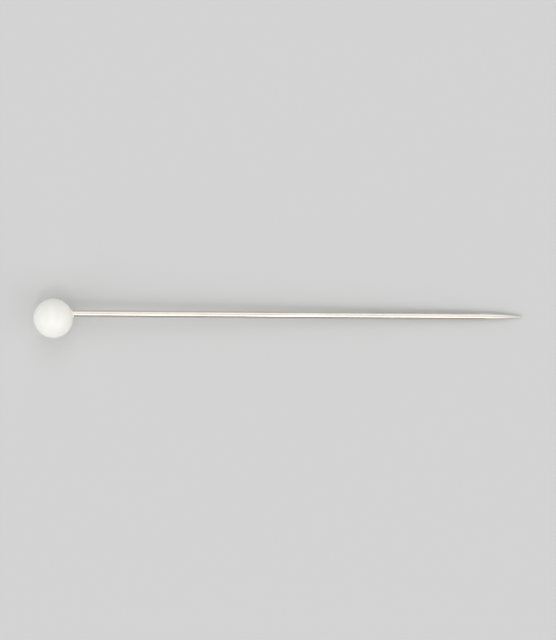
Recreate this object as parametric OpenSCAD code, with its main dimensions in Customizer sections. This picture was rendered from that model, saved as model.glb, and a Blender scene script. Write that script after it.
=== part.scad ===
// Straight pin with a drop of milk glass melted on to the end of a plated steel wire.
// The wire lies along X and its point faces +X. The origin is where the wire's axis leaves the glass.

/* [Wire] */
// Length of the whole pin, from the back of the head to the tip
pin_length = 35; // [25:0.5:60]
// Diameter of the wire
wire_d = 0.5; // [0.4:0.05:0.8]
// How far the wire runs into the glass
seat_depth = 1.9; // [1:0.1:2.4]
// How much the wire draws in, all round, towards its cropped end inside the glass
crop_in = 0.04; // [0.01:0.01:0.08]

/* [Point] */
// Length of the ground point, from full wire to tip
point_length = 2.9; // [1.5:0.1:6]
// Radius left at the very tip
tip_r = 0.025; // [0.01:0.005:0.06]

/* [Head] */
// Diameter of the glass drop
head_d = 2.85; // [2.4:0.05:4]
// How far the drop's centre hangs below the wire's axis, along -Y
head_drop = 0.35; // [0:0.05:0.5]
// Radius of the hollow curve where the glass climbs the wire
meniscus_r = 0.1; // [0.06:0.01:0.2]
// Width of the glass lip left round the wire
lip_w = 0.04; // [0.04:0.005:0.08]

/* [Hidden] */

curve_fn = 96;
wire_r = wire_d / 2;
crop_r = wire_r - crop_in;
head_r = head_d / 2;

// The meniscus stands on the drop along the line from the drop's centre to where the wire comes out.
entry_tilt = asin(head_drop / head_r);
lip_r = wire_r + lip_w;
meniscus_x = lip_r + meniscus_r;
meniscus_top = sqrt(pow(head_r + meniscus_r, 2) - pow(meniscus_x, 2));
// The hollow curve is cut this much larger than one that only touches the drop, so that it ends inside it
meniscus_swell = 1.04;

// The drop's centre lies this far behind the place where the wire's axis leaves the glass.
head_back = (meniscus_top - head_drop * sin(entry_tilt)) / cos(entry_tilt);
tip_x = pin_length - head_back - head_r;
point_x = tip_x - point_length;

// The point is an arc that runs smoothly off the wire and on to the small ball at the tip.
tip_ball_z = point_length - tip_r;
ogive_r = (pow(tip_ball_z, 2) + pow(wire_r, 2) - pow(tip_r, 2)) / (2 * (wire_r - tip_r));
ogive_end_z = tip_ball_z * ogive_r / (ogive_r - tip_r);
ogive_end_r = (ogive_r - wire_r) * tip_r / (ogive_r - tip_r);

// Turns a profile drawn as (radius, distance along the wire) round the wire's axis
module turned() {
    rotate([0, 90, 0]) rotate_extrude($fn = curve_fn) children();
}

// Half section of the straight wire and of the end that sits in the glass
module wire_profile() {
    polygon([
        [0, -seat_depth],
        [crop_r, -seat_depth],
        [wire_r, 0],
        [wire_r, point_x],
        [0, point_x]
    ]);
}

// Half section of the ground point, with z = 0 where the full wire ends
module point_profile() {
    intersection() {
        square([wire_r, ogive_end_z]);
        translate([wire_r - ogive_r, 0]) circle(r = ogive_r, $fn = curve_fn);
    }
    intersection() {
        translate([0, ogive_end_z]) square([ogive_end_r, tip_r]);
        translate([0, tip_ball_z]) circle(r = tip_r, $fn = curve_fn);
    }
}

// Half section of the glass, about the line from the drop's centre to where the wire comes out
module drop_profile() {
    intersection() {
        circle(d = head_d, $fn = curve_fn);
        translate([0, -head_r]) square([head_r, head_d]);
    }
    difference() {
        polygon([[0, 0], [meniscus_x, meniscus_top], [0, meniscus_top]]);
        translate([meniscus_x, meniscus_top]) circle(r = meniscus_r * meniscus_swell, $fn = curve_fn);
    }
}

module wire_shaft() {
    color("lightgray") turned() {
        wire_profile();
        translate([0, point_x]) point_profile();
    }
}

module glass_head() {
    color("ivory") difference() {
        translate([-head_back, -head_drop, 0]) rotate([0, 0, entry_tilt]) turned() drop_profile();
        turned() wire_profile();
    }
}

wire_shaft();
glass_head();
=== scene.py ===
# %% [markdown]
# A straight pin with a glass head.
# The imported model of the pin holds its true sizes, and this file gives it its looks.
# Loading comes first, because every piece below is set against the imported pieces.
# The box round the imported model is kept, so that the finished pin can be compared with it at the
# end.

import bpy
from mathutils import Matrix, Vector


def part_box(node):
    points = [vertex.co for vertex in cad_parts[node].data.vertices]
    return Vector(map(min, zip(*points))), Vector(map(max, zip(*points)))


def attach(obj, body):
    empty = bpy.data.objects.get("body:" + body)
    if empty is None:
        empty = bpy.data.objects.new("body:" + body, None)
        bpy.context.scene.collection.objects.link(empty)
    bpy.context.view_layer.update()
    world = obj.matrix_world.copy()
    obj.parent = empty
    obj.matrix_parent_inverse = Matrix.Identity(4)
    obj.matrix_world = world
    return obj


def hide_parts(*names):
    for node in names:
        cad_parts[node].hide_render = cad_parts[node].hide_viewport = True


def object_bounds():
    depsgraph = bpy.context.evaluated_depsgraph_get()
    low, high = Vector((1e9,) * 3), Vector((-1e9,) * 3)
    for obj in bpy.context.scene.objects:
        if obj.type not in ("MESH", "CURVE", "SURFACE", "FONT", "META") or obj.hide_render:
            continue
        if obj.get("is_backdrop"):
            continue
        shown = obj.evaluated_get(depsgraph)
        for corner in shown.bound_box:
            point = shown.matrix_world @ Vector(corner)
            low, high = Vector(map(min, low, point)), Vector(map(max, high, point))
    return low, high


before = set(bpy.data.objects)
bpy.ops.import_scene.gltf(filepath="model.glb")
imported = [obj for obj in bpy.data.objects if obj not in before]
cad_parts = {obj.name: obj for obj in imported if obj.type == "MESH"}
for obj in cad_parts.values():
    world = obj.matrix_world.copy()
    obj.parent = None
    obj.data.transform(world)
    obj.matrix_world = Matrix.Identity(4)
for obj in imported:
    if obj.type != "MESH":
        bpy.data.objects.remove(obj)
cad_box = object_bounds()
print("packed pieces:", sorted(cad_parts))

# %% Modules that the steps below use
import math

import bmesh
import bpy
from mathutils import Vector

# %% [markdown]
# The sizes.
# A pin is two simple forms, a wire and a drop, so ten sizes say all about it.
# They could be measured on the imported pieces, but named values are easier to read, and every other
# place can be worked out from them.
# Blender works in metres, and a pin is measured in millimetres, so each size is written in
# millimetres and turned into metres by one factor.
# The same values stand in the source of the solids, which this file can't read.

# %% Sizes of the wire and the drop
mm = 0.001
pin_length = 35 * mm
wire_r = 0.25 * mm
crop_in = 0.04 * mm
seat_depth = 1.9 * mm
point_length = 2.9 * mm
tip_r = 0.025 * mm
head_r = 1.425 * mm
head_drop = 0.35 * mm
meniscus_r = 0.1 * mm
lip_w = 0.04 * mm
print("wire", round(2 * wire_r / mm, 2), "mm and drop", round(2 * head_r / mm, 2), "mm across")

# %% [markdown]
# Where the two forms stand.
# The origin is where the wire's axis leaves the glass, and the point faces +X.
# The drop hangs off the wire's axis, as drops of molten glass do, so the glass climbs the wire
# along a line that is a little inclined to it.
# The point is an arc that leaves the wire without a corner and runs on to a tiny ball at the tip.
# Circles that touch have their centres a known distance apart, so right-angled triangles between
# those centres give every place and angle.

# %% Places that follow from the sizes
crop_r = wire_r - crop_in
entry_tilt = math.asin(head_drop / head_r)
meniscus_out = wire_r + lip_w + meniscus_r
lip_along = math.sqrt((head_r + meniscus_r) ** 2 - meniscus_out ** 2)
head_back = (lip_along - head_drop * math.sin(entry_tilt)) / math.cos(entry_tilt)
head_centre = Vector((-head_back, -head_drop, 0))
tip_x = pin_length - head_back - head_r
point_x = tip_x - point_length
tip_ball = point_length - tip_r
ogive_r = (tip_ball ** 2 + wire_r ** 2 - tip_r ** 2) / (2 * (wire_r - tip_r))
ogive_angle = math.asin(tip_ball / (ogive_r - tip_r))
packed_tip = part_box("wire_shaft")[1].x
print("tip at", round(tip_x / mm, 3), "mm, packed tip at", round(packed_tip / mm, 3), "mm")

# %% [markdown]
# Short words for building node trees.
# Every tree below, for a shape or for a finish, is made of the same few steps: add a node, set or
# link its inputs, take its output.
# A few small functions keep those steps readable.

# %% Add a node and feed its inputs
def inlet(node, key):
    """The input of a node, by identifier, name or number."""
    for socket in node.inputs:
        if socket.identifier == key:
            return socket
    return node.inputs[key]


def plug(tree, value, node, key):
    """Links an output to an input of a node that is already there."""
    tree.links.new(value, inlet(node, key))


def add(tree, kind, inputs=None, **settings):
    """Adds a node, and feeds each input with a value or with another node's output."""
    node = tree.nodes.new(kind)
    for name, value in settings.items():
        setattr(node, name, value)
    for key, value in (inputs or {}).items():
        if isinstance(value, bpy.types.NodeSocket):
            plug(tree, value, node, key)
        else:
            inlet(node, key).default_value = value
    return node


# %% Reckon with numbers inside a tree
def maths(tree, operation, *values):
    """The result of a Math node."""
    return add(tree, "ShaderNodeMath", dict(enumerate(values)), operation=operation).outputs[0]


def plus(tree, first, second):
    return maths(tree, "ADD", first, second)


def minus(tree, first, second):
    return maths(tree, "SUBTRACT", first, second)


def times(tree, first, second):
    return maths(tree, "MULTIPLY", first, second)


def between(tree, start, end, share):
    """The value that lies at a share of the way from start to end."""
    return plus(tree, start, times(tree, minus(tree, end, start), share))


# %% Start a node group with named inputs and outputs
def new_group(name, kind, inputs, outputs):
    """Makes a group. Returns it with what its inputs give and what its outputs take."""
    tree = bpy.data.node_groups.new(name, kind)
    for label, form, value in inputs:
        socket = tree.interface.new_socket(label, in_out="INPUT", socket_type=form)
        if value is not None:
            socket.default_value = value
    for label, form in outputs:
        tree.interface.new_socket(label, in_out="OUTPUT", socket_type=form)
    given = tree.nodes.new("NodeGroupInput").outputs
    return tree, given, tree.nodes.new("NodeGroupOutput")


# %% [markdown]
# Turning, as on a lathe.
# The wire, its point and the drop are all round, so each is a profile turned about a line.
# Blender's Screw modifier could turn a drawn profile, but these profiles follow a rule: they are
# chains of straight lines and arcs whose ends are known from the sizes.
# So Geometry Nodes suit them better. A flat grid is bent round the X axis: across the grid runs the
# turn, and along it runs the profile.
# One group does this for a straight stretch and one for an arc.

# %% A group that turns one stretch of a profile
real, whole, shape = "NodeSocketFloat", "NodeSocketInt", "NodeSocketGeometry"
fewest_steps = 2
usual_sides = 64


def turned_band(name, inputs, rule):
    """Makes a group that bends a grid round X. The rule gives the place along X and the radius."""
    counts = [("Stations", whole, fewest_steps), ("Sides", whole, usual_sides)]
    tree, given, result = new_group(name, "GeometryNodeTree", inputs + counts, [("Band", shape)])
    grid = add(tree, "GeometryNodeMeshGrid", {
        "Size X": 1.0, "Size Y": 1.0,
        "Vertices X": given["Stations"], "Vertices Y": plus(tree, given["Sides"], 1)})
    position = add(tree, "GeometryNodeInputPosition").outputs[0]
    flat = add(tree, "ShaderNodeSeparateXYZ", {0: position}).outputs
    turn = times(tree, flat["Y"], -math.tau)
    along, radius = rule(tree, given, plus(tree, flat["X"], 0.5))
    place = add(tree, "ShaderNodeCombineXYZ", {
        "X": along,
        "Y": times(tree, radius, maths(tree, "COSINE", turn)),
        "Z": times(tree, radius, maths(tree, "SINE", turn))})
    bent = add(tree, "GeometryNodeSetPosition", {
        "Geometry": grid.outputs[0], "Position": place.outputs[0]})
    plug(tree, bent.outputs[0], result, "Band")
    return tree


# %% The straight stretch and the arc
def line_rule(tree, given, share):
    along = between(tree, given["From along"], given["To along"], share)
    return along, between(tree, given["From radius"], given["To radius"], share)


def arc_rule(tree, given, share):
    angle = between(tree, given["From angle"], given["To angle"], share)
    along = times(tree, given["Arc radius"], maths(tree, "SINE", angle))
    out = times(tree, given["Arc radius"], maths(tree, "COSINE", angle))
    return plus(tree, along, given["Centre along"]), plus(tree, out, given["Centre out"])


turned_line = turned_band("turned_line", [
    ("From along", real, 0.0), ("From radius", real, 0.0),
    ("To along", real, 1.0), ("To radius", real, 0.0)], line_rule)
turned_arc = turned_band("turned_arc", [
    ("Centre along", real, 0.0), ("Centre out", real, 0.0), ("Arc radius", real, 1.0),
    ("From angle", real, 0.0), ("To angle", real, 1.0)], arc_rule)
print("groups for turning:", turned_line.name, "and", turned_arc.name)


# %% Place a stretch in a tree
def straight(tree, start, end, steps, sides):
    """A band that runs straight from start to end. Each is a place along X and a radius."""
    return add(tree, "GeometryNodeGroup", {
        "From along": start[0], "From radius": start[1], "To along": end[0], "To radius": end[1],
        "Stations": steps, "Sides": sides}, node_tree=turned_line).outputs[0]


def curved(tree, centre, radius, start, end, steps, sides):
    """A band that follows an arc. Its centre is a place along X and a distance from X."""
    return add(tree, "GeometryNodeGroup", {
        "Centre along": centre[0], "Centre out": centre[1], "Arc radius": radius,
        "From angle": start, "To angle": end,
        "Stations": steps, "Sides": sides}, node_tree=turned_arc).outputs[0]


# %% [markdown]
# From bands to a closed piece.
# Bands that meet end to end are joined, and points that fall on the same place are merged, which
# closes the seam and the poles.
# Faces are smooth, apart from real corners, such as the rim of the cropped end.
# A finished tree is run once by a modifier on an empty mesh. The result is copied out as a plain
# mesh, and the modifier goes, because what is exported has to be plain.

# %% Join bands into one closed skin
weld = 0.00001 * mm
corner_angle = math.radians(30)


def closed_skin(tree, bands):
    """Joins bands and merges the points that they share."""
    joined = add(tree, "GeometryNodeJoinGeometry")
    for band in bands:
        plug(tree, band, joined, 0)
    return add(tree, "GeometryNodeMergeByDistance", {
        "Geometry": joined.outputs[0], "Distance": weld}).outputs[0]


def finished(tree, skin, finish, result):
    """Smooths the faces but not the corners, then ends the tree."""
    smooth = add(tree, "GeometryNodeSetShadeSmooth", {"Geometry": skin}, domain="FACE")
    bend = add(tree, "GeometryNodeInputMeshEdgeAngle").outputs["Unsigned Angle"]
    crisp = add(tree, "GeometryNodeSetShadeSmooth", {
        "Geometry": smooth.outputs[0], "Shade Smooth": False,
        "Selection": maths(tree, "GREATER_THAN", bend, corner_angle)}, domain="EDGE")
    real_mesh = add(tree, "GeometryNodeRealizeInstances", {"Geometry": crisp.outputs[0]})
    dressed = add(tree, "GeometryNodeSetMaterial", {
        "Geometry": real_mesh.outputs[0], "Material": finish})
    plug(tree, dressed.outputs[0], result, "Piece")


# %% Run a tree once and keep its mesh
def measured(mesh):
    """The volume in cubic millimetres, and the number of edges that leave the skin open."""
    work = bmesh.new()
    work.from_mesh(mesh)
    volume = work.calc_volume(signed=True) / mm ** 3
    open_edges = sum(1 for edge in work.edges if not edge.is_manifold)
    work.free()
    return volume, open_edges


def piece_from(tree, name, inputs):
    """Sets the named inputs of a tree, runs it, and makes its result a plain object."""
    values = {label: value for label, form, value in inputs}
    maker = bpy.data.objects.new(name + "_maker", bpy.data.meshes.new(name + "_maker"))
    bpy.context.scene.collection.objects.link(maker)
    modifier = maker.modifiers.new(name, "NODES")
    modifier.node_group = tree
    for socket in tree.interface.items_tree:
        if socket.in_out == "INPUT":
            modifier[socket.identifier] = values[socket.name]
    done = maker.evaluated_get(bpy.context.evaluated_depsgraph_get())
    mesh = bpy.data.meshes.new_from_object(done)
    bpy.data.objects.remove(maker)
    mesh.name = name
    piece = bpy.data.objects.new(name, mesh)
    bpy.context.scene.collection.objects.link(piece)
    volume, open_edges = measured(mesh)
    print(name, "has", len(mesh.polygons), "faces,", round(volume, 3), "cubic mm and",
          open_edges, "open edges")
    return piece


# %% [markdown]
# Effects that both finishes share.
# Drawn wire, ground steel and wound glass all carry fine lines, and both finishes are a little
# uneven, with a few specks of dust.
# Such marks could be painted on, but noise that is stretched, wound or cut into dots gives them at
# any closeness, and it needs no picture.
# Each effect is a shader group that is made once, and each material sets it to its own scale.
# A group gives out a mask from 0 to 1 and no shader, so that a material can use it for colour,
# roughness or relief.
# All of them read a place in millimetres, with the axis of the piece along X.

# %% Fine lines round or along an axis
spot = "NodeSocketVector"
line_detail = 3.0
line_roughness = 0.6


def fine_lines_group():
    """Lines that run along X. Turn winds them round it, in radians per millimetre."""
    tree, given, result = new_group("fine_lines", "ShaderNodeTree", [
        ("Place", spot, None), ("Turn", real, 0.0), ("Count", real, 6.0),
        ("Length", real, 6.0), ("Contrast", real, 0.5)], [("Lines", real)])
    parts = add(tree, "ShaderNodeSeparateXYZ", {0: given["Place"]}).outputs
    across = add(tree, "ShaderNodeCombineXYZ", {"Y": parts["Y"], "Z": parts["Z"]})
    unit = add(tree, "ShaderNodeVectorMath", {0: across.outputs[0]}, operation="NORMALIZE")
    wound = add(tree, "ShaderNodeVectorRotate", {
        "Vector": unit.outputs[0],
        "Angle": times(tree, parts["X"], given["Turn"])}, rotation_type="X_AXIS")
    round_parts = add(tree, "ShaderNodeSeparateXYZ", {0: wound.outputs[0]}).outputs
    stretched = add(tree, "ShaderNodeCombineXYZ", {
        "X": maths(tree, "DIVIDE", parts["X"], given["Length"]),
        "Y": times(tree, round_parts["Y"], given["Count"]),
        "Z": times(tree, round_parts["Z"], given["Count"])})
    noise = add(tree, "ShaderNodeTexNoise", {
        "Vector": stretched.outputs[0], "Scale": 1.0,
        "Detail": line_detail, "Roughness": line_roughness})
    edge = times(tree, minus(tree, 1.0, given["Contrast"]), 0.5)
    lines = add(tree, "ShaderNodeMapRange", {
        "Value": noise.outputs[0], "From Min": edge, "From Max": minus(tree, 1.0, edge)})
    plug(tree, lines.outputs[0], result, "Lines")
    return tree


fine_lines = fine_lines_group()
print("shared effect:", fine_lines.name)

# %% Slow unevenness and specks of dust
patch_detail = 2.0
patch_low, patch_high = 0.3, 0.7


def uneven_group():
    """Broad soft patches, about as wide as Size."""
    tree, given, result = new_group("uneven_patches", "ShaderNodeTree", [
        ("Place", spot, None), ("Size", real, 1.0)], [("Patches", real)])
    noise = add(tree, "ShaderNodeTexNoise", {
        "Vector": given["Place"], "Scale": maths(tree, "DIVIDE", 1.0, given["Size"]),
        "Detail": patch_detail})
    patches = add(tree, "ShaderNodeMapRange", {
        "Value": noise.outputs[0], "From Min": patch_low, "From Max": patch_high})
    plug(tree, patches.outputs[0], result, "Patches")
    return tree


def specks_group():
    """Small separate specks. Spacing is the distance between them, and Speck their width."""
    tree, given, result = new_group("dust_specks", "ShaderNodeTree", [
        ("Place", spot, None), ("Spacing", real, 0.5), ("Speck", real, 0.05)], [("Specks", real)])
    cells = add(tree, "ShaderNodeTexVoronoi", {
        "Vector": given["Place"], "Scale": maths(tree, "DIVIDE", 1.0, given["Spacing"])})
    specks = add(tree, "ShaderNodeMapRange", {
        "Value": cells.outputs["Distance"], "From Min": 0.0,
        "From Max": maths(tree, "DIVIDE", given["Speck"], given["Spacing"]),
        "To Min": 1.0, "To Max": 0.0}, interpolation_type="SMOOTHSTEP")
    plug(tree, specks.outputs[0], result, "Specks")
    return tree


uneven_patches = uneven_group()
dust_specks = specks_group()
print("shared effects:", uneven_patches.name, "and", dust_specks.name)

# %% [markdown]
# Where a pattern lies.
# Both materials read Object coordinates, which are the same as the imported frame, so a pattern stays
# put when the pin moves. A Mapping node turns them into millimetres.
# For the glass the same node counts the place from the drop's centre and turns it, so that X runs
# along the line on which the glass was wound on to the wire.

# %% Places in millimetres, and mixed colours
def place_in_mm(tree, centre=(0, 0, 0), tilt=0.0):
    """The place on the piece, in millimetres from a centre, turned back by a tilt about Z."""
    point = add(tree, "ShaderNodeTexCoord").outputs["Object"]
    return add(tree, "ShaderNodeMapping", {
        "Vector": point, "Location": centre, "Rotation": (0, 0, tilt), "Scale": (mm, mm, mm)},
        vector_type="TEXTURE").outputs[0]


def mask(tree, group, place, **values):
    """The mask that a shared effect gives at a place."""
    return add(tree, "ShaderNodeGroup", {"Place": place, **values}, node_tree=group).outputs[0]


def mixed(tree, factor, first, second):
    """A colour between two others."""
    return add(tree, "ShaderNodeMix", {
        "Factor_Float": factor, "A_Color": first, "B_Color": second}, data_type="RGBA").outputs[2]


# %% [markdown]
# The nickel plate.
# Steel wire is drawn through a die, which leaves fine lines along it, and the plate over them is
# bright and slightly warm. The point is ground afterwards, so its marks run round it at a slant, it
# is a little duller, and its border on the wire is not square.
# Wire and point could have a material each, but the border between them would then be a clean ring.
# So one material serves both, with a mask that goes by the distance along X.
# A metal shows what stands round it, so most of the look is in its roughness and relief.

# %% The border of the ground point
border_slant = 1.2
border_patch = 0.15
border_reach = 0.35
border_start = point_x / mm


def ground_mask(tree, place):
    """0 on the plated wire and 1 on the ground point, with a slanting, uneven border."""
    parts = add(tree, "ShaderNodeSeparateXYZ", {0: place}).outputs
    slanting = plus(tree, parts["X"], times(tree, parts["Y"], border_slant))
    ragged = times(tree, mask(tree, uneven_patches, place, Size=border_patch), border_reach)
    border = add(tree, "ShaderNodeMapRange", {
        "Value": plus(tree, slanting, ragged),
        "From Min": border_start, "From Max": border_start + border_reach},
        interpolation_type="SMOOTHSTEP")
    return border.outputs[0]


# %% Colours, dullness and depth of the plate
nickel = (0.72, 0.68, 0.62, 1)
nickel_shade = (0.58, 0.53, 0.47, 1)
ground_steel = (0.80, 0.76, 0.70, 1)
least_shade, most_shade = 0.25, 0.85
bare_steel = 0.6
plate_roughness = 0.16
ground_dull = 0.11
line_dull = 0.1
dust_dull = 0.15
line_relief = 0.002 * mm
line_strength = 0.4
ground_deeper = 1.5
print("lines in the plate are", round(line_relief / mm, 4), "mm deep")

# %% Scales of the marks on the plate
drawn_lines = {"Turn": 0.0, "Count": 9.0, "Length": 30.0, "Contrast": 0.6}
ground_lines = {"Turn": 2.2, "Count": 14.0, "Length": 0.9, "Contrast": 0.8}
plate_patches = {"Size": 1.6}
plate_specks = {"Spacing": 0.45, "Speck": 0.05}
print("a ground line goes once round in", round(math.tau / ground_lines["Turn"], 2), "mm")


# %% Nickel over drawn wire
def nickel_plate():
    material = bpy.data.materials.new("nickel_plate")
    material.use_nodes = True
    tree = material.node_tree
    shader = tree.nodes["Principled BSDF"]
    place = place_in_mm(tree)
    drawn = mask(tree, fine_lines, place, **drawn_lines)
    ground = mask(tree, fine_lines, place, **ground_lines)
    patches = mask(tree, uneven_patches, place, **plate_patches)
    specks = mask(tree, dust_specks, place, **plate_specks)
    point = ground_mask(tree, place)
    lines = between(tree, drawn, ground, point)
    shade = times(tree, lines, between(tree, least_shade, most_shade, patches))
    plate = mixed(tree, shade, nickel, nickel_shade)
    colour = mixed(tree, times(tree, point, bare_steel), plate, ground_steel)
    dull = plus(tree, times(tree, point, ground_dull), times(tree, lines, line_dull))
    dusty = plus(tree, dull, times(tree, specks, dust_dull))
    depth = times(tree, lines, plus(tree, times(tree, point, ground_deeper), 1.0))
    relief = add(tree, "ShaderNodeBump", {
        "Strength": line_strength, "Distance": line_relief, "Height": depth})
    plug(tree, colour, shader, "Base Color")
    plug(tree, plus(tree, dusty, plate_roughness), shader, "Roughness")
    plug(tree, relief.outputs[0], shader, "Normal")
    shader.inputs["Metallic"].default_value = 1.0
    return material


plated = nickel_plate()
print("finish of the wire:", plated.name)

# %% [markdown]
# The milk glass.
# Milk glass is white all through and lets a little light in, so it is soft inside and glossy
# outside: some light scatters under the skin, and the skin itself reflects like any glass.
# Plain white paint would look chalky, and clear glass with a white core would take long to render.
# A shader with light scattered under its skin gives both looks at once.
# The glass is wound on to the wire as a soft drop, which leaves faint streaks round that line.
# Its white is slightly warm, and it is never quite even.

# %% Colours, dullness and depth of the glass
milk = (0.90, 0.905, 0.855, 1)
cream = (0.86, 0.845, 0.76, 1)
speck_grey = (0.60, 0.58, 0.52, 1)
most_cream = 0.25
most_grey = 0.5
glass_roughness = 0.15
patch_dull = 0.03
speck_dull = 0.2
wave_relief = 0.004 * mm
wave_strength = 0.5
glass_ior = 1.5
scatter_share = 0.5
scatter_depth = 0.1 * mm
scatter_colour = (1.0, 0.95, 0.8)
print("light goes about", round(scatter_depth / mm, 2), "mm into the glass")

# %% Scales of the marks in the glass
wound_streaks = {"Turn": 4.0, "Count": 1.6, "Length": 1.2, "Contrast": 0.5}
glass_patches = {"Size": 1.1}
glass_specks = {"Spacing": 0.7, "Speck": 0.035}
print("a streak goes once round in", round(math.tau / wound_streaks["Turn"], 2), "mm")


# %% White glass wound on the wire
def milk_glass():
    material = bpy.data.materials.new("milk_glass")
    material.use_nodes = True
    tree = material.node_tree
    shader = tree.nodes["Principled BSDF"]
    place = place_in_mm(tree, head_centre, entry_tilt)
    streaks = mask(tree, fine_lines, place, **wound_streaks)
    patches = mask(tree, uneven_patches, place, **glass_patches)
    specks = mask(tree, dust_specks, place, **glass_specks)
    warmth = times(tree, plus(tree, streaks, patches), most_cream)
    body = mixed(tree, warmth, milk, cream)
    colour = mixed(tree, times(tree, specks, most_grey), body, speck_grey)
    rough = plus(tree, times(tree, patches, patch_dull), times(tree, specks, speck_dull))
    wave = add(tree, "ShaderNodeBump", {
        "Strength": wave_strength, "Distance": wave_relief, "Height": patches})
    plug(tree, colour, shader, "Base Color")
    plug(tree, plus(tree, rough, glass_roughness), shader, "Roughness")
    plug(tree, wave.outputs[0], shader, "Normal")
    shader.inputs["IOR"].default_value = glass_ior
    shader.inputs["Subsurface Weight"].default_value = scatter_share
    shader.inputs["Subsurface Radius"].default_value = scatter_colour
    shader.inputs["Subsurface Scale"].default_value = scatter_depth
    return material


milky = milk_glass()
print("finish of the drop:", milky.name)

# %% [markdown]
# The wire.
# A pin is a length of wire, cropped at one end and ground to a point at the other.
# It could be a cylinder and a cone, but the point of a real pin is rounded along its length.
# So five bands make it: the cropped face, the end that sits in the glass, the straight wire, the
# arc of the point and the ball at its very tip.
# The solid has few sides, so that it packs small. Here the wire has enough of them to look round
# when seen close.

# %% The end that sits in the glass
quarter_turn = math.pi / 2


def buried_end(tree, given, sides, face_steps, seat_steps):
    """The cropped face, and the side that widens from it to where the wire leaves the glass."""
    crop = (times(tree, given["Seat depth"], -1.0), given["Crop radius"])
    return [
        straight(tree, (crop[0], 0.0), crop, face_steps, sides),
        straight(tree, crop, (0.0, given["Wire radius"]), seat_steps, sides)]


# %% A tree for the wire
thing = "NodeSocketMaterial"
wire_sides = 96
wire_steps = {"face": 4, "seat": 6, "shaft": 60, "point": 48, "tip": 12}
wire_inputs = [
    ("Wire radius", real, wire_r), ("Crop radius", real, crop_r), ("Seat depth", real, seat_depth),
    ("Point start", real, point_x), ("Ogive radius", real, ogive_r),
    ("Ogive angle", real, ogive_angle), ("Tip radius", real, tip_r),
    ("Tip ball", real, point_x + tip_ball), ("Sides", whole, wire_sides),
    ("Finish", thing, plated)]


def wire_tree():
    tree, given, result = new_group(
        "pointed_wire", "GeometryNodeTree", wire_inputs, [("Piece", shape)])
    radius, sides = given["Wire radius"], given["Sides"]
    start, angle = given["Point start"], given["Ogive angle"]
    ogive_centre = (start, minus(tree, radius, given["Ogive radius"]))
    skin = closed_skin(tree, [
        *buried_end(tree, given, sides, wire_steps["face"], wire_steps["seat"]),
        straight(tree, (0.0, radius), (start, radius), wire_steps["shaft"], sides),
        curved(tree, ogive_centre, given["Ogive radius"], 0.0, angle, wire_steps["point"], sides),
        curved(tree, (given["Tip ball"], 0.0), given["Tip radius"], angle, quarter_turn,
               wire_steps["tip"], sides)])
    finished(tree, skin, given["Finish"], result)
    return tree


# %% Make the wire
wire = piece_from(wire_tree(), "pointed_wire", wire_inputs)

# %% [markdown]
# The drop.
# Molten glass draws itself into a ball and climbs the wire a little way, in a hollow curve, before
# it sets. The curve leaves the ball without a corner and ends in a thin lip, rounded by the flame.
# The ball, the hollow curve and the round of the lip are arcs that touch each other, so their
# centres give the angles at which one hands over to the next.
# A ball with the wire pushed through it would look much the same. A boolean takes the wire's own
# shape out of the glass instead, so that the drop is a real bead with a socket.

# %% Where one arc of the drop hands over to the next
lip_round = 0.015 * mm
lip_out = meniscus_out - math.sqrt((meniscus_r + lip_round) ** 2 - lip_round ** 2)
ball_end = math.atan2(lip_along, meniscus_out)
hollow_start = ball_end - math.pi
lip_start = math.atan2(lip_round, meniscus_out - lip_out)
hollow_end = lip_start - math.pi
print("the lip is flat between", round(wire_r / mm, 3), "and", round(lip_out / mm, 3), "mm")

# %% Sizes that the drop's tree takes
drop_sides = 160
drop_steps = {"ball": 88, "hollow": 20, "lip": 8}
drop_inputs = [
    ("Drop radius", real, head_r), ("Hollow radius", real, meniscus_r),
    ("Hollow out", real, meniscus_out), ("Lip along", real, lip_along),
    ("Lip round", real, lip_round), ("Lip out", real, lip_out),
    ("Drop centre", spot, head_centre), ("Entry tilt", real, entry_tilt),
    ("Wire radius", real, wire_r), ("Crop radius", real, crop_r), ("Seat depth", real, seat_depth),
    ("Sides", whole, drop_sides), ("Wire sides", whole, wire_sides), ("Finish", thing, milky)]
print("the drop has", sum(drop_steps.values()), "rings of", drop_sides, "points")


# %% The form that is taken out of the glass
def socket_form(tree, given):
    """The buried end of the wire, and as much of the straight wire as clears the lip."""
    radius, sides = given["Wire radius"], given["Wire sides"]
    clear = given["Hollow radius"]
    return closed_skin(tree, [
        *buried_end(tree, given, sides, fewest_steps, fewest_steps),
        straight(tree, (0.0, radius), (clear, radius), fewest_steps, sides),
        straight(tree, (clear, radius), (clear, 0.0), fewest_steps, sides)])


# %% A tree for the drop
def drop_tree():
    tree, given, result = new_group(
        "glass_drop", "GeometryNodeTree", drop_inputs, [("Piece", shape)])
    sides, top = given["Sides"], given["Lip along"]
    lip_centre = (minus(tree, top, given["Lip round"]), given["Lip out"])
    skin = closed_skin(tree, [
        curved(tree, (0.0, 0.0), given["Drop radius"], -quarter_turn, ball_end,
               drop_steps["ball"], sides),
        curved(tree, (top, given["Hollow out"]), given["Hollow radius"], hollow_start, hollow_end,
               drop_steps["hollow"], sides),
        curved(tree, lip_centre, given["Lip round"], lip_start, quarter_turn,
               drop_steps["lip"], sides),
        straight(tree, (top, given["Lip out"]), (top, 0.0), fewest_steps, sides)])
    turn = add(tree, "ShaderNodeCombineXYZ", {"Z": given["Entry tilt"]})
    hung = add(tree, "GeometryNodeTransform", {
        "Geometry": skin, "Translation": given["Drop centre"], "Rotation": turn.outputs[0]})
    bored = add(tree, "GeometryNodeMeshBoolean", {
        "Mesh 1": hung.outputs[0], "Mesh 2": socket_form(tree, given)},
        operation="DIFFERENCE", solver="EXACT")
    finished(tree, bored.outputs[0], given["Finish"], result)
    return tree


# %% Make the drop
drop = piece_from(drop_tree(), "glass_drop", drop_inputs)

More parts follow.
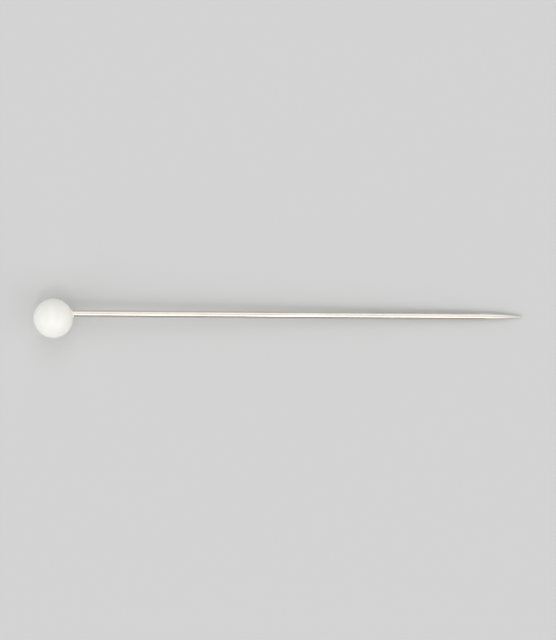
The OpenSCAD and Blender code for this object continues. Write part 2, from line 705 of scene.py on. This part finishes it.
# %% [markdown]
# Each piece in place of an imported one.
# Each mesh stands in for one imported piece, which is hidden, and rides on the pin's only body.
# Its finish is the one that its tree set, and the slot of the record named beside it is only printed.

# %% Tie the pieces to the imported pin
stand_ins = (
    (wire, "wire_shaft", "nickel_plated_steel"),
    (drop, "glass_head", "white_glass"))
for piece, node, slot in stand_ins:
    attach(piece, "root")
    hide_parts(node)
    print(piece.name, "replaces", node, "and takes its finish from", slot)

# %% [markdown]
# The floor.
# A pin doesn't lie level: it rests on its head and on the shoulder of its point. The pin stays
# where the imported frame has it, so it is the floor that is tilted to touch both.
# The head is a ball, and the shoulder is part of a much larger circle, so the tilt follows from the
# distance between two centres.

# %% How the floor has to lean
reach_along = point_x + head_back
reach_up = ogive_r - wire_r
span = math.hypot(reach_along, reach_up)
floor_tilt = math.acos((ogive_r - head_r) / span) - math.atan2(reach_along, reach_up)
floor_up = Vector((-math.sin(floor_tilt), 0, math.cos(floor_tilt)))
floor_level = floor_up.dot(head_centre) - head_r
print("the floor is tilted", round(math.degrees(floor_tilt), 2), "degrees")

# %% Lay the floor under the pin
floor_side = 6.0
floor_grey = (0.62, 0.62, 0.62, 1)
floor_roughness = 0.9


def floor_corner(x, y):
    return (x, y, (floor_level - floor_up.x * x) / floor_up.z)


def lay_floor():
    mesh = bpy.data.meshes.new("floor")
    half = floor_side / 2
    corners = ((-half, -half), (half, -half), (half, half), (-half, half))
    mesh.from_pydata([floor_corner(x, y) for x, y in corners], [], [(0, 1, 2, 3)])
    floor = bpy.data.objects.new("floor", mesh)
    bpy.context.scene.collection.objects.link(floor)
    paint = bpy.data.materials.new("pale_floor")
    paint.use_nodes = True
    shader = paint.node_tree.nodes["Principled BSDF"]
    shader.inputs["Base Color"].default_value = floor_grey
    shader.inputs["Roughness"].default_value = floor_roughness
    shader.inputs["Specular IOR Level"].default_value = 0.0
    mesh.materials.append(paint)
    return floor


lay_floor()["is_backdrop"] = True

# %% [markdown]
# The light.
# Polished metal and glass are lit by what they reflect, so the light is shaped for the two of them.
# Lamps with soft boxes could do it, but on a pin this small they would stand close to the floor and
# light it unevenly. So a pale dome gives the soft light, and glows lie on it.
# One is a ring high on the dome, which draws a bright line along the wire from every side.
# One lies in a strip across the wire: the wire mirrors only what stands square to it, and the arc
# of its point little more, so a strip whitens them both. It reaches further down behind the pin
# than in front, which leaves the lower edge of the wire grey.
# Two more lie where the wire can't mirror them, but the drop needs them. One is beyond the two ends
# of the pin, so that the sides of the drop don't fall off into grey. The other is a pair low in
# front, on the left and on the right, which gives the front of the drop its bright rim.
# Low down the dome has the tone of the floor, so that no horizon shows in a low view.
# One lamp, far off and small, gives the spark on the head.

# %% How bright each glow is, and where it begins and is full
dome_tone = 0.26
horizon_tone = 0.652
sky_edge = (0.08, 0.3)
ring_light = 0.59
ring_height = 0.7
ring_edge = (0.13, 0.06)
strip_light = 0.89
strip_edge = (0.46, 0.22)
strip_lean = Vector((0, 0.35, 1)).normalized()
strip_fall = (0.2, 0.7)
end_light = 0.62
end_edge = (0.5, 1.0)
rim_light = 1.05
rim_way = Vector((0.75, -0.6, 0.3)).normalized()
rim_edge = (0.7, 1.0)


def glow(tree, value, edge, strength):
    """Light that changes smoothly from nothing to its strength between two values."""
    return add(tree, "ShaderNodeMapRange", {
        "Value": value, "From Min": edge[0], "From Max": edge[1],
        "To Min": 0.0, "To Max": strength}, interpolation_type="SMOOTHSTEP").outputs[0]


def facing(tree, way, aim):
    """How far a way points at an aim: 1 where both are the same, and 0 where they are square."""
    meeting = add(tree, "ShaderNodeVectorMath", {0: way, 1: aim}, operation="DOT_PRODUCT")
    return meeting.outputs["Value"]


# %% The dome
def light_dome():
    world = bpy.data.worlds.new("pale_dome")
    bpy.context.scene.world = world
    world.use_nodes = True
    tree = world.node_tree
    ray = add(tree, "ShaderNodeTexCoord").outputs["Generated"]
    way = add(tree, "ShaderNodeSeparateXYZ", {0: ray}).outputs
    aside = maths(tree, "ABSOLUTE", way["X"])
    folded = add(tree, "ShaderNodeCombineXYZ", {"X": aside, "Y": way["Y"], "Z": way["Z"]})
    off_ring = maths(tree, "ABSOLUTE", minus(tree, way["Z"], ring_height))
    ring = glow(tree, off_ring, ring_edge, ring_light)
    narrow = glow(tree, aside, strip_edge, strip_light)
    strip = times(tree, narrow, glow(tree, facing(tree, ray, strip_lean), strip_fall, 1.0))
    ends = glow(tree, aside, end_edge, end_light)
    rim = glow(tree, facing(tree, folded.outputs[0], rim_way), rim_edge, rim_light)
    glows = plus(tree, plus(tree, ring, strip), plus(tree, ends, rim))
    sky = glow(tree, way["Z"], sky_edge, 1.0)
    light = between(tree, horizon_tone, plus(tree, glows, dome_tone), sky)
    background = tree.nodes["Background"]
    background.inputs["Color"].default_value = (1, 1, 1, 1)
    plug(tree, light, background, "Strength")
    return world


print("the light comes from", light_dome().name)


# %% The lamp for the spark
def spark_lamp(lean, width, strength):
    """A round lamp, far off, that leans from straight above the pin towards -Y."""
    way = Vector((0, -math.sin(lean), math.cos(lean)))
    data = bpy.data.lights.new("spark_lamp", "SUN")
    data.angle = width
    data.energy = strength * math.pi
    lamp = bpy.data.objects.new("spark_lamp", data)
    lamp.rotation_mode = "QUATERNION"
    lamp.rotation_quaternion = way.to_track_quat("Z", "Y")
    bpy.context.scene.collection.objects.link(lamp)
    print("the lamp adds", round(strength * way.z, 3), "to the light on the floor")


spark_lamp(lean=math.radians(28), width=math.radians(2), strength=0.06)

# %% [markdown]
# The camera.
# The photograph looks straight down, so the camera does too, with the point of the pin on the right
# and a hair lower than the head. A long lens keeps the view flat.
# The picture is taller than it is wide, so the lens angle belongs to its height.

# %% Look straight down
picture_wide, picture_high = 556, 640
pin_share = 0.88
lens = 135
film = 36
roll = math.radians(0.4)
nearest_share = 0.01


def place_camera():
    low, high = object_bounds()
    data = bpy.data.cameras.new("camera")
    data.lens = lens
    data.sensor_width = film
    seen_high = (high.x - low.x) / pin_share * picture_high / picture_wide
    distance = seen_high * lens / film
    camera = bpy.data.objects.new("camera", data)
    camera.location = ((low.x + high.x) / 2, (low.y + high.y) / 2, distance)
    camera.rotation_euler = (0, 0, roll)
    data.clip_start = distance * nearest_share
    bpy.context.scene.collection.objects.link(camera)
    bpy.context.scene.camera = camera
    print("the camera stands", round(distance / mm), "mm above the pin")


place_camera()
bpy.context.scene.view_settings.view_transform = "Standard"

# %% [markdown]
# The two boxes.
# Both boxes are printed, so that the finished pin can be compared with the solids. The finished
# pin may not be larger than the solids.

# %% Print both boxes
new_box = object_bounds()
for name, corners in (("solids", cad_box), ("finished", new_box)):
    print(name, [[round(value / mm, 3) for value in corner] for corner in corners])
